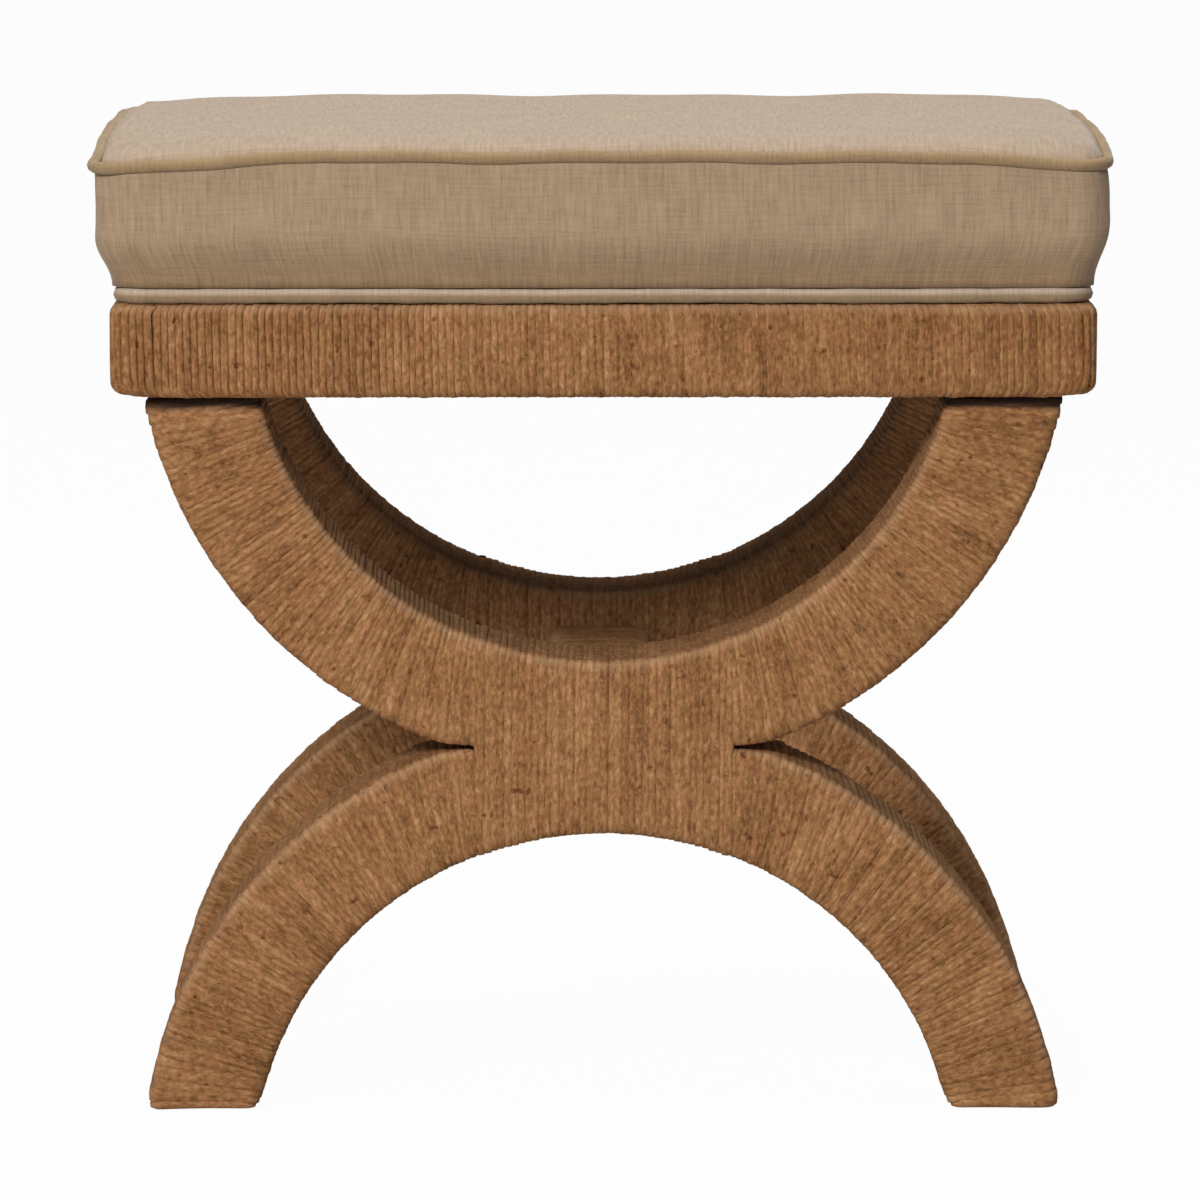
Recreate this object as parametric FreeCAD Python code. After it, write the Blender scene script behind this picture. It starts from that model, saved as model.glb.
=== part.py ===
import FreeCAD, Part
import math
import os

# A cord-wrapped X-frame footstool, in millimetres. The origin is on the floor
# under the middle of the stool, X runs along the seat, -Y is the front.

os.makedirs("parts", exist_ok=True)

Vec = FreeCAD.Vector
UP = Vec(0, 0, 1)

# Cord, as a layer over the wood, with the clearance under and between turns
CORD = 3.5
SEAT_GAP = 0.1
TURN_GAP = 0.55
TURN_BEVEL = 1.3

# Curved limbs, measured over the cord
LIMB_INNER_R = 173.5
LIMB_OUTER_R = 229.0
LIMB_DEPTH = 60.0
UPPER_CENTRE_Z = 397.6
LOWER_CENTRE_Z = -35.0
FRAMES_FRONT_TO_BACK = 316.8
WOOD_CHAMFER = 3.0
WAIST_BAND_WIDTH = 122.0
BAND_CLEARANCE = 0.4
FOOT_CORD_Z = 1.0

# Stretcher between the two waists, over the cord
STRETCHER_WIDTH = 53.0
STRETCHER_HEIGHT = 50.0
STRETCHER_CHAMFER = 6.0

# Rail box under the seat, over the cord
RAIL_BOX_WIDTH = 479.0
RAIL_BOX_DEPTH = 337.0
RAIL_BOTTOM = 355.4
RAIL_TOP = 402.6
RAIL_WOOD = 22.0
FIT_GAP = 0.2
POST_BELOW_TOP = 5.0
POST_INSET = 1.0
SPLINE_LENGTH = 16.0
SPLINE_THICK = 4.0
CLEAT = 21.0
CLEAT_LENGTH = 196.0

# Seat pad
FABRIC = 1.2
PAD_WIDTH = 496.4
PAD_DEPTH = 350.0
PAD_CORNER_R = 17.0
SEAM_Z = 473.1
CROWN_Z = 483.8
CROWN_RUN = 135.0
CROWN_FULLNESS = 2.4
CORNER_WIDENS = 0.18
PIPING_GROOVE = 4.0
PAD_BOW = 1.5
SEAM_STANDS_OUT = 2.4
DRAWN_IN = 8.6
DRAWN_IN_SHARE = 0.42
TURNED_UNDER = 42.0
BOARD_THICK = 12.0
BOARD_WIDTH = 464.0
BOARD_DEPTH = 324.0
BOARD_CORNER_R = 12.0
TOP_PIPING_R = 3.0
BOTTOM_PIPING_R = 3.1
DUST_COVER_THICK = 0.6

# Turns in each winding
LIMB_TURNS = 24
WAIST_TURNS = 16
STRETCHER_TURNS = 14
LONG_RAIL_TURNS = 24
SHORT_RAIL_TURNS = 18

# Fixings
DOWEL_R = 4.0
DOWEL_LENGTH = 60.0
WAIST_DOWEL_X = 32.0
STRETCHER_DOWEL_LIFT = 11.0
SCREW_R = 2.2
SCREW_HEAD_R = 4.4
SCREW_TIP = 5.0
TIP_R = 0.3
POST_SCREW_LENGTH = 52.0
POST_SCREW_INSET = 12.0
POST_SCREW_FROM_EDGE = 15.0
CLEAT_SCREW_LENGTH = 38.0
CLEAT_SCREW_SPACING = 70.0
CLEAT_SCREW_DROP = 2.0
SEAT_SCREW_LENGTH = 31.0
SEAT_SCREW_Y = 38.0
GLIDE_R = 11.0
GLIDE_RIM = 1.0
GLIDE_THICK = 3.0
NAIL_R = 1.2
NAIL_LENGTH = 16.0
ROUND_SIDES = 8
PIPING_SIDES = 8
LIMB_FACETS = 18

# Sizes that follow from the ones above
WAIST_Z = (UPPER_CENTRE_Z + LOWER_CENTRE_Z) / 2
CENTRE_W = UPPER_CENTRE_Z - WAIST_Z
WOOD_INNER_R = LIMB_INNER_R + CORD
WOOD_OUTER_R = LIMB_OUTER_R - CORD
WOOD_HALF_DEPTH = LIMB_DEPTH / 2 - CORD
FRAME_MID_Y = (FRAMES_FRONT_TO_BACK - LIMB_DEPTH) / 2
INNER_FACE_Y = FRAME_MID_Y - LIMB_DEPTH / 2
ARM_TOP_W = RAIL_BOTTOM - SEAT_GAP - WAIST_Z
FOOT_CORD_W = WAIST_Z - FOOT_CORD_Z
FOOT_WOOD_W = WAIST_Z - GLIDE_THICK
RAIL_LAYER = RAIL_WOOD + 2 * CORD
BOX_INNER_X = RAIL_BOX_WIDTH / 2 - RAIL_LAYER
BOX_INNER_Y = RAIL_BOX_DEPTH / 2 - RAIL_LAYER
CLEAT_INNER_X = BOX_INNER_X - FIT_GAP - CLEAT
BOARD_BOTTOM = RAIL_TOP + FABRIC
BOARD_TOP = BOARD_BOTTOM + BOARD_THICK
PAD_FOOT_Z = RAIL_TOP + 2 * BOTTOM_PIPING_R + SEAT_GAP


def export(name, solids):
    shape = solids[0] if len(solids) == 1 else Part.makeCompound(solids)
    shape.exportStep("parts/" + name + ".step")


def faceted_tube(sections, closed=False, soft=False):
    """Solid of flat facets through sections with the same number of corners. Facets
    that lie in one plane are joined, except on a soft form, where few truly do."""
    count = len(sections[0])
    points = [corner for section in sections for corner in section]
    total = len(points)
    facets = []
    for index in range(len(sections) if closed else len(sections) - 1):
        for corner in range(count):
            following = (corner + 1) % count
            a, b = index * count + corner, index * count + following
            facets.append((a, b, (b + count) % total))
            facets.append((a, (b + count) % total, (a + count) % total))
    if not closed:
        last = total - count
        for corner in range(1, count - 1):
            facets.append((0, corner + 1, corner))
            facets.append((last, last + corner, last + corner + 1))
    shell = Part.Shape()
    shell.makeShapeFromMesh((points, facets), 0.001, True)
    solid = Part.makeSolid(shell)
    if not soft:
        solid = solid.removeSplitter()
    if solid.Volume < 0:
        solid.reverse()
    return solid


def turned(levels, place, direction):
    """Round piece with flats, from (distance along, radius) levels."""
    turn = FreeCAD.Rotation(UP, direction)
    sections = []
    for height, radius in levels:
        section = []
        for side in range(ROUND_SIDES):
            angle = 2 * math.pi * side / ROUND_SIDES
            offset = Vec(radius * math.cos(angle), radius * math.sin(angle), height)
            section.append(place + turn.multVec(offset))
        sections.append(section)
    return faceted_tube(sections)


def drilled(solid, tools):
    """The solid with clearance for the fixings that reach into it."""
    for tool in tools:
        if solid.BoundBox.intersect(tool.BoundBox):
            solid = solid.cut(tool)
    return solid


def circle_x(radius, w):
    """Half width of a limb's circle at a distance w from the waist plane."""
    return math.sqrt(radius ** 2 - (CENTRE_W - w) ** 2)


def circle_angle(radius, w):
    """Angle from straight at the waist to the point of the circle at w."""
    return math.acos((CENTRE_W - w) / radius)


def limb_wood(mid_y, upward, end_w):
    """One bent wooden U in flat facets: two limbs and the flat glue joint at the waist.
    The facets of its inner curve touch the true circle from outside, clear of the cord."""
    sign = 1 if upward else -1
    inner_r = WOOD_INNER_R / math.cos(circle_angle(WOOD_INNER_R, end_w) / LIMB_FACETS)
    ring = section_ring(inner_r, WOOD_OUTER_R, -WOOD_HALF_DEPTH, WOOD_HALF_DEPTH, WOOD_CHAMFER)
    sections = []
    for facet in range(LIMB_FACETS + 1):
        place = 2 * facet / LIMB_FACETS - 1
        section = []
        for radius, v in ring:
            angle = place * circle_angle(radius, end_w)
            w = max(0.0, CENTRE_W - radius * math.cos(angle))
            section.append(Vec(radius * math.sin(angle), mid_y + v, WAIST_Z + sign * w))
        sections.append(section)
    return faceted_tube(sections)


def arm_posts(sy):
    """The arms' tops rise inside the rail box as corner posts."""
    low_x = circle_x(WOOD_INNER_R, ARM_TOP_W) + POST_INSET
    high_x = BOX_INNER_X - FIT_GAP
    low_y = FRAME_MID_Y - WOOD_HALF_DEPTH
    high_y = BOX_INNER_Y - FIT_GAP
    low_z = WAIST_Z + ARM_TOP_W - POST_INSET
    height = RAIL_TOP - POST_BELOW_TOP - low_z
    y = low_y if sy > 0 else -high_y
    return [Part.makeBox(high_x - low_x, high_y - low_y, height, Vec(x, y, low_z)) for x in (low_x, -high_x)]


def frame_woods(sy):
    """The upper U with its posts, and the lower arch, of the front or the rear frame."""
    upper = limb_wood(sy * FRAME_MID_Y, True, ARM_TOP_W)
    for post in arm_posts(sy):
        upper = upper.fuse(post)
    return upper.removeSplitter(), limb_wood(sy * FRAME_MID_Y, False, FOOT_WOOD_W)


def section_ring(low_u, high_u, low_v, high_v, cut):
    """Corners of a wrapped section in winding order, with its corners cut if asked."""
    points = []
    corners = ((low_u, high_v, 1, -1), (low_u, low_v, 1, 1), (high_u, low_v, -1, 1), (high_u, high_v, -1, -1))
    for index, (u, v, du, dv) in enumerate(corners):
        if cut == 0:
            points.append((u, v))
            continue
        pair = [(u + du * cut, v), (u, v + dv * cut)]
        points.extend(pair if index % 2 == 0 else pair[::-1])
    return points


def layer_rings(low_u, high_u, low_v, high_v, wood_cut=0.0):
    """The winding's inner line just off the wood, paired with its outer line one cord away."""
    grow = CORD - SEAT_GAP
    corner_share = 2 - math.sqrt(2)
    inner_cut = wood_cut + SEAT_GAP * corner_share if wood_cut else 0
    outer_cut = inner_cut + grow * corner_share if wood_cut else 0
    inner = section_ring(low_u + grow, high_u - grow, low_v + grow, high_v - grow, inner_cut)
    outer = section_ring(low_u, high_u, low_v, high_v, outer_cut)
    return list(zip(inner, outer))


def limb_stations(mid_y, toward_middle, upward, side, end_w):
    """Stations round a curved limb: section in radius and depth, turns fan about the centre."""
    lift = 1 if upward else -1
    inner_start = math.asin((WAIST_BAND_WIDTH / 2 + BAND_CLEARANCE) / LIMB_INNER_R)
    outer_start = circle_angle(LIMB_OUTER_R, SEAT_GAP)
    inner_end = circle_angle(LIMB_INNER_R, end_w)
    outer_end = circle_angle(LIMB_OUTER_R, end_w)
    centre = Vec(0, mid_y, WAIST_Z + lift * CENTRE_W)

    def station(pair):
        (base_r, base_v), (top_r, top_v) = pair
        share = (base_r - LIMB_INNER_R) / (LIMB_OUTER_R - LIMB_INNER_R)
        start = inner_start + (outer_start - inner_start) * share
        sweep = inner_end + (outer_end - inner_end) * share - start

        def at(place):
            angle = start + sweep * place
            out = Vec(side * math.sin(angle), 0, -lift * math.cos(angle))
            along = Vec(side * math.cos(angle), 0, lift * math.sin(angle)) * sweep
            base = centre + out * base_r + Vec(0, toward_middle * base_v, 0)
            top = centre + out * top_r + Vec(0, toward_middle * top_v, 0)
            return base, along * base_r, top, along * top_r

        return at

    rings = layer_rings(LIMB_INNER_R, LIMB_OUTER_R, -LIMB_DEPTH / 2, LIMB_DEPTH / 2)
    return [station(pair) for pair in rings]


def waist_stations(mid_y, toward_middle):
    """Stations round the waist, whose top and bottom follow the limbs' inner arcs."""
    grow = CORD - SEAT_GAP
    levels = ((WOOD_INNER_R - SEAT_GAP, LIMB_DEPTH / 2 - grow), (LIMB_INNER_R, LIMB_DEPTH / 2))

    def station(sign, face):
        def at(place):
            x = WAIST_BAND_WIDTH * (place - 0.5)
            slope = x / math.sqrt(LIMB_INNER_R ** 2 - x ** 2)
            found = []
            for radius, v in levels:
                height = CENTRE_W - math.sqrt(radius ** 2 - x ** 2)
                found.append(Vec(x, mid_y + toward_middle * face * v, WAIST_Z + sign * height))
                found.append(Vec(1, 0, sign * slope) * WAIST_BAND_WIDTH)
            return found

        return at

    return [station(sign, face) for sign, face in ((-1, 1), (-1, -1), (1, -1), (1, 1))]


def straight_stations(rings, point, rate):
    """Stations of a winding on a straight member, from its section and a mapping."""
    def station(pair):
        def at(place):
            base, top = pair
            return point(place, *base), rate(*base), point(place, *top), rate(*top)

        return at

    return [station(pair) for pair in rings]


def stretcher_stations():
    """Stations round the stretcher, stepping on along its underside."""
    half = STRETCHER_WIDTH / 2
    low, high = WAIST_Z - STRETCHER_HEIGHT / 2, WAIST_Z + STRETCHER_HEIGHT / 2
    length = 2 * INNER_FACE_Y
    rings = layer_rings(-half, half, -high, -low, STRETCHER_CHAMFER)
    return straight_stations(rings, lambda place, u, v: Vec(u, length * (place - 0.5), -v),
                             lambda u, v: Vec(0, length, 0))


def rail_halves(direction):
    """Half the rail's own length and half the box's width across it."""
    halves = (RAIL_BOX_WIDTH / 2, RAIL_BOX_DEPTH / 2)
    return halves if direction == "x" else halves[::-1]


def rail_stations(direction, sign):
    """Stations round a mitred rail: the turns spread more on the outer face than inside."""
    half_length, half_span = rail_halves(direction)

    def point(place, depth, z):
        along = 2 * (place - 0.5) * (half_length - depth)
        across = sign * (half_span - depth)
        return Vec(along, across, z) if direction == "x" else Vec(across, along, z)

    def rate(depth, z):
        speed = 2 * (half_length - depth)
        return Vec(speed, 0, 0) if direction == "x" else Vec(0, speed, 0)

    return straight_stations(layer_rings(0, RAIL_LAYER, RAIL_BOTTOM, RAIL_TOP), point, rate)


def edge_samples(sections, corner, steps=4):
    """Points along one corner of a run of sections."""
    samples = []
    for start, end in zip(sections, sections[1:]):
        a, b = start[corner], end[corner]
        samples.extend(a + (b - a) * (step / steps) for step in range(steps))
    return samples


def least_gap(sections, per_turn):
    """Least distance between neighbouring turns, the steps between them included."""
    least = None
    for first in range(0, len(sections) - 2 * per_turn + 1, per_turn):
        middle = first + per_turn
        ahead = edge_samples(sections[first:middle + 1], 1)
        behind = edge_samples(sections[middle:middle + per_turn + 1], 0)
        for point in ahead:
            nearest = min(point.distanceToPoint(other) for other in behind)
            least = nearest if least is None else min(least, nearest)
    return least


def wound_cord(name, stations, turns, least_pitch, mean_pitch):
    """One unbroken flattened cord. Every turn visits the stations in order at one
    place along the wood, and the cord steps to the next turn between the last
    station and the first. A station gives a point on the wood, a point on top of
    the cord, and how fast each moves along the winding."""
    half = 0.5 * (1 - TURN_GAP / least_pitch) / turns
    top_half = half - TURN_BEVEL / mean_pitch / turns
    sections = []
    for turn in range(turns):
        place = (turn + 0.5) / turns
        for station in stations:
            base, base_rate, top, top_rate = station(place)
            sections.append((base - base_rate * half, base + base_rate * half,
                             top + top_rate * top_half, top - top_rate * top_half))
    print(name, "turns", turns, "least gap", round(least_gap(sections, len(stations)), 2), "mm")
    return faceted_tube(sections)


def limb_winding(frame_name, sy, level_name, side_name):
    upward = level_name == "upper"
    end_w = ARM_TOP_W if upward else FOOT_CORD_W
    side = -1 if side_name == "left" else 1
    stations = limb_stations(sy * FRAME_MID_Y, -sy, upward, side, end_w)
    start = math.asin(WAIST_BAND_WIDTH / 2 / LIMB_INNER_R)
    sweep = circle_angle(LIMB_INNER_R, min(ARM_TOP_W, FOOT_CORD_W)) - start
    least_pitch = LIMB_INNER_R * sweep / LIMB_TURNS
    mean_pitch = (LIMB_INNER_R + LIMB_OUTER_R) / 2 * sweep / LIMB_TURNS
    node = "_".join((frame_name, level_name, side_name, "wrap"))
    return node, wound_cord(node, stations, LIMB_TURNS, least_pitch, mean_pitch)


def rail_wood(direction, sign):
    """One mitred rail with a broken lower outer edge."""
    half_length, half_span = rail_halves(direction)
    low, high = RAIL_BOTTOM + CORD, RAIL_TOP - CORD
    outer, inner = CORD, CORD + RAIL_WOOD
    profile = [(outer, low + WOOD_CHAMFER), (outer, high), (inner, high), (inner, low),
               (outer + WOOD_CHAMFER, low)]
    sections = []
    for end in (-1, 1):
        points = []
        for depth, z in profile:
            along, across = end * (half_length - depth), sign * (half_span - depth)
            points.append(Vec(along, across, z) if direction == "x" else Vec(across, along, z))
        sections.append(points)
    return faceted_tube(sections)


def mitre_splines():
    """A thin loose tongue across each mitre of the rail box."""
    height = RAIL_TOP - RAIL_BOTTOM - 2 * CORD
    depth = CORD + RAIL_WOOD / 2
    splines = []
    for sx in (-1, 1):
        for sy in (-1, 1):
            corner = Vec(-SPLINE_LENGTH / 2, -SPLINE_THICK / 2, RAIL_BOTTOM + CORD)
            spline = Part.makeBox(SPLINE_LENGTH, SPLINE_THICK, height, corner)
            spline.rotate(Vec(), UP, -45 * sx * sy)
            spline.translate(Vec(sx * (RAIL_BOX_WIDTH / 2 - depth), sy * (RAIL_BOX_DEPTH / 2 - depth), 0))
            splines.append(spline)
    return splines


def stretcher_core():
    """The wooden stretcher, with broken long edges."""
    size = Vec(STRETCHER_WIDTH - 2 * CORD, 2 * INNER_FACE_Y, STRETCHER_HEIGHT - 2 * CORD)
    corner = Vec(-size.x / 2, -INNER_FACE_Y, WAIST_Z - size.z / 2)
    block = Part.makeBox(size.x, size.y, size.z, corner)
    return block.makeChamfer(STRETCHER_CHAMFER, [edge for edge in block.Edges if edge.Length > size.y - 1])


def cleat(sx):
    """Batten along an end rail that the seat board is screwed through."""
    low_x = CLEAT_INNER_X if sx > 0 else -CLEAT_INNER_X - CLEAT
    corner = Vec(low_x, -CLEAT_LENGTH / 2, RAIL_TOP - SEAT_GAP - CLEAT)
    return Part.makeBox(CLEAT, CLEAT_LENGTH, CLEAT, corner)


def screw(head, direction, length):
    """Countersunk wood screw: a cone head, a plain shank and a point."""
    levels = ((0, SCREW_HEAD_R), (SCREW_HEAD_R - SCREW_R, SCREW_R), (length - SCREW_TIP, SCREW_R),
              (length, TIP_R))
    return turned(levels, head, direction)


def dowel(middle, direction):
    half = DOWEL_LENGTH / 2
    return turned(((-half, DOWEL_R), (half, DOWEL_R)), middle, direction)


def waist_dowels():
    """Two upright dowels through the glue joint of each frame."""
    return [dowel(Vec(sx * WAIST_DOWEL_X, sy * FRAME_MID_Y, WAIST_Z), UP) for sy in (-1, 1) for sx in (-1, 1)]


def stretcher_dowels():
    """Two dowels from each end of the stretcher into the waist."""
    return [dowel(Vec(0, sy * INNER_FACE_Y, WAIST_Z + lift), Vec(0, 1, 0))
            for sy in (-1, 1) for lift in (-STRETCHER_DOWEL_LIFT, STRETCHER_DOWEL_LIFT)]


def post_screws():
    """Two screws in each post: one out into the long rail, one into the end rail."""
    head_y = FRAME_MID_Y - WOOD_HALF_DEPTH
    head_x = circle_x(WOOD_INNER_R, ARM_TOP_W) + POST_INSET
    upper_z = RAIL_TOP - POST_SCREW_FROM_EDGE
    lower_z = RAIL_BOTTOM + POST_SCREW_FROM_EDGE
    screws = []
    for sx in (-1, 1):
        for sy in (-1, 1):
            into_long = Vec(sx * (BOX_INNER_X - POST_SCREW_INSET), sy * head_y, upper_z)
            into_end = Vec(sx * head_x, sy * (BOX_INNER_Y - POST_SCREW_INSET), lower_z)
            screws.append(screw(into_long, Vec(0, sy, 0), POST_SCREW_LENGTH))
            screws.append(screw(into_end, Vec(sx, 0, 0), POST_SCREW_LENGTH))
    return screws


def cleat_screws():
    """Three screws through each cleat into its end rail."""
    z = RAIL_TOP - CLEAT / 2 - CLEAT_SCREW_DROP
    return [screw(Vec(sx * CLEAT_INNER_X, step * CLEAT_SCREW_SPACING, z), Vec(sx, 0, 0), CLEAT_SCREW_LENGTH)
            for sx in (-1, 1) for step in (-1, 0, 1)]


def seat_screws():
    """Two screws up through each cleat into the seat board."""
    x = CLEAT_INNER_X + CLEAT / 2
    z = RAIL_TOP - SEAT_GAP - CLEAT
    return [screw(Vec(sx * x, sy * SEAT_SCREW_Y, z), UP, SEAT_SCREW_LENGTH) for sx in (-1, 1) for sy in (-1, 1)]


def foot_glides():
    """Nail-on glides: a low domed disc and its nail, under the middle of each foot."""
    x = (circle_x(WOOD_INNER_R, FOOT_WOOD_W) + circle_x(WOOD_OUTER_R, FOOT_WOOD_W)) / 2
    levels = ((0, GLIDE_R - GLIDE_RIM), (GLIDE_RIM, GLIDE_R), (GLIDE_THICK, GLIDE_R), (GLIDE_THICK, NAIL_R),
              (NAIL_LENGTH, NAIL_R), (NAIL_LENGTH + 2 * NAIL_R, TIP_R))
    return [turned(levels, Vec(sx * x, sy * FRAME_MID_Y, 0), UP) for sx in (-1, 1) for sy in (-1, 1)]


def soft_outline(half_x, half_y, z, corner, bow):
    """Rounded rectangle of straight steps whose sides bow out a little between the
    corners. It starts inside a corner, so that its cap has no flat sliver."""
    steps = 3
    points = []
    for sx, sy, start in ((1, 1, 0), (-1, 1, 90), (-1, -1, 180), (1, -1, 270)):
        middle_x, middle_y = sx * (half_x - bow - corner), sy * (half_y - bow - corner)
        for step in range(steps + 1):
            angle = math.radians(start + 90 * step / steps)
            points.append(Vec(middle_x + corner * math.cos(angle), middle_y + corner * math.sin(angle), z))
        if start in (0, 180):
            points.extend(Vec(sx * x, sy * half_y, z) for x in (half_x / 3, -half_x / 3))
        else:
            points.append(Vec(sx * half_x, 0, z))
    first = steps // 2
    return points[first:] + points[:first]


def side_inset(height_share):
    """How far the pad's side is drawn in, from the foot of its boxing up to its seam."""
    share = min(1.0, height_share / DRAWN_IN_SHARE)
    return DRAWN_IN * 0.5 * (1 + math.cos(math.pi * share))


def pad_levels(inset, lowest):
    """Heights and insets of the seat pad: drawn-in sides, a groove for piping, a crowned top."""
    side_top = SEAM_Z - TOP_PIPING_R
    crown_low = SEAM_Z + TOP_PIPING_R
    levels = []
    for share in (0.0, 0.12, 0.24, DRAWN_IN_SHARE, 1.0):
        levels.append((PAD_FOOT_Z + (side_top - PAD_FOOT_Z) * share, side_inset(share)))
    levels.append((side_top + 0.2, PIPING_GROOVE))
    levels.append((crown_low, PIPING_GROOVE + 0.2))
    for share in (0.08, 0.25, 0.5, 1.0):
        height = (CROWN_Z - crown_low) * (1 - (1 - share) ** CROWN_FULLNESS)
        levels.append((crown_low + height, PIPING_GROOVE + 1.0 + CROWN_RUN * share ** 1.5))
    fitted = [(z - inset if z > SEAM_Z else z, step + inset) for z, step in levels]
    return [(lowest, fitted[0][1])] + [level for level in fitted if level[0] > lowest + 0.3]


def pad_rings(inset, lowest):
    """Outlines of the crowned pad, inside the cover by the given inset, from the lowest up."""
    rings = []
    for z, step in pad_levels(inset, lowest):
        half_x, half_y = PAD_WIDTH / 2 - step, PAD_DEPTH / 2 - step
        bow = PAD_BOW * max(0.0, 1 - step / 40)
        corner = min(PAD_CORNER_R + CORNER_WIDENS * step, half_y - bow - 2.0)
        rings.append(soft_outline(half_x, half_y, z, corner, bow))
    return rings


def board_outline(grow, z):
    """Outline of the seat board, grown or drawn in by the given amount."""
    corner = max(1.0, BOARD_CORNER_R + grow)
    return soft_outline(BOARD_WIDTH / 2 + grow, BOARD_DEPTH / 2 + grow, z, corner, 0)


def seat_board():
    return faceted_tube([board_outline(0, BOARD_BOTTOM), board_outline(0, BOARD_TOP)])


def seat_cover():
    """Fabric shell, turned under the board all round and open in the middle below. Its
    rings run down inside the crown, out round the turned-under edge and up outside."""
    inner_floor = PAD_FOOT_Z + FABRIC
    rings = pad_rings(FABRIC, inner_floor)[::-1]
    rings += [board_outline(0, inner_floor), board_outline(0, BOARD_BOTTOM)]
    rings += [board_outline(-TURNED_UNDER, z) for z in (BOARD_BOTTOM, RAIL_TOP)]
    rings += [board_outline(FABRIC, RAIL_TOP), board_outline(FABRIC, PAD_FOOT_Z)]
    return faceted_tube(rings + pad_rings(0.0, PAD_FOOT_Z), soft=True)


def foam_core():
    """Crowned foam block on the board, filling the cover."""
    return faceted_tube(pad_rings(FABRIC, BOARD_TOP), soft=True)


def piping(radius, half_x, half_y, z, corner):
    """Covered cord sewn in a closed loop round the pad."""
    route = soft_outline(half_x - radius, half_y - radius, z, corner, PAD_BOW)
    sections = []
    for index, point in enumerate(route):
        along = (route[(index + 1) % len(route)] - route[index - 1]).normalize()
        out = along.cross(UP)
        turns = [2 * math.pi * side / PIPING_SIDES for side in range(PIPING_SIDES)]
        sections.append([point + out * (radius * math.cos(a)) + UP * (radius * math.sin(a)) for a in turns])
    return faceted_tube(sections, closed=True, soft=True)


def dust_cover():
    """Thin cloth between the cleats and the long rails, under the board."""
    half_x, half_y = CLEAT_INNER_X - 1.0, BOX_INNER_Y - 1.0
    corner = Vec(-half_x, -half_y, RAIL_TOP - SEAT_GAP - DUST_COVER_THICK)
    return Part.makeBox(2 * half_x, 2 * half_y, DUST_COVER_THICK, corner)


def build_frames(fixings, cord_fixings):
    for frame_name, sy in (("front", -1), ("rear", 1)):
        upper, lower = frame_woods(sy)
        export(frame_name + "_upper_arc", [drilled(upper, fixings)])
        export(frame_name + "_lower_arc", [drilled(lower, fixings)])
        for level_name in ("upper", "lower"):
            for side_name in ("left", "right"):
                node, cord = limb_winding(frame_name, sy, level_name, side_name)
                export(node, [cord])
        node = frame_name + "_waist_wrap"
        pitch = WAIST_BAND_WIDTH / WAIST_TURNS
        stations = waist_stations(sy * FRAME_MID_Y, -sy)
        cord = wound_cord(node, stations, WAIST_TURNS, pitch, pitch)
        export(node, [drilled(cord, cord_fixings)])


def build_stretcher(fixings):
    export("stretcher_core", [drilled(stretcher_core(), fixings)])
    pitch = 2 * INNER_FACE_Y / STRETCHER_TURNS
    cord = wound_cord("stretcher_wrap", stretcher_stations(), STRETCHER_TURNS, pitch, pitch)
    export("stretcher_wrap", [cord])


def build_rails(fixings, cord_fixings):
    sides = (("front", "x", -1), ("rear", "x", 1), ("left", "y", -1), ("right", "y", 1))
    for rail_name, direction, sign in sides:
        export(rail_name + "_rail", [drilled(rail_wood(direction, sign), fixings)])
        turns = LONG_RAIL_TURNS if direction == "x" else SHORT_RAIL_TURNS
        pitch = 2 * (BOX_INNER_X if direction == "x" else BOX_INNER_Y) / turns
        node = rail_name + "_rail_wrap"
        cord = wound_cord(node, rail_stations(direction, sign), turns, pitch, pitch)
        export(node, [drilled(cord, cord_fixings)])


def build_seat(fixings, cover_fixings):
    for side_name, sx in (("left", -1), ("right", 1)):
        export(side_name + "_seat_cleat", [drilled(cleat(sx), fixings)])
    export("seat_board", [drilled(seat_board(), fixings)])
    export("foam_core", [foam_core()])
    export("seat_cover", [drilled(seat_cover(), cover_fixings)])
    half_x, half_y = PAD_WIDTH / 2 + SEAM_STANDS_OUT, PAD_DEPTH / 2 + SEAM_STANDS_OUT
    export("top_piping", [piping(TOP_PIPING_R, half_x, half_y, SEAM_Z, PAD_CORNER_R)])
    low_z = RAIL_TOP + BOTTOM_PIPING_R + SEAT_GAP / 2
    half_x, half_y = RAIL_BOX_WIDTH / 2, RAIL_BOX_DEPTH / 2
    export("bottom_piping", [piping(BOTTOM_PIPING_R, half_x, half_y, low_z, BOARD_CORNER_R)])
    export("dust_cover", [dust_cover()])


def build():
    groups = {
        "waist_dowels": waist_dowels(),
        "stretcher_dowels": stretcher_dowels(),
        "post_screws": post_screws(),
        "cleat_screws": cleat_screws(),
        "seat_screws": seat_screws(),
        "foot_glides": foot_glides(),
        "mitre_splines": mitre_splines(),
    }
    for name, solids in groups.items():
        export(name, solids)
    fixings = [solid for solids in groups.values() for solid in solids]
    build_frames(fixings, groups["stretcher_dowels"])
    build_stretcher(fixings)
    build_rails(fixings, groups["post_screws"] + groups["cleat_screws"])
    build_seat(fixings, groups["seat_screws"])


build()
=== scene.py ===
import math

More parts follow.
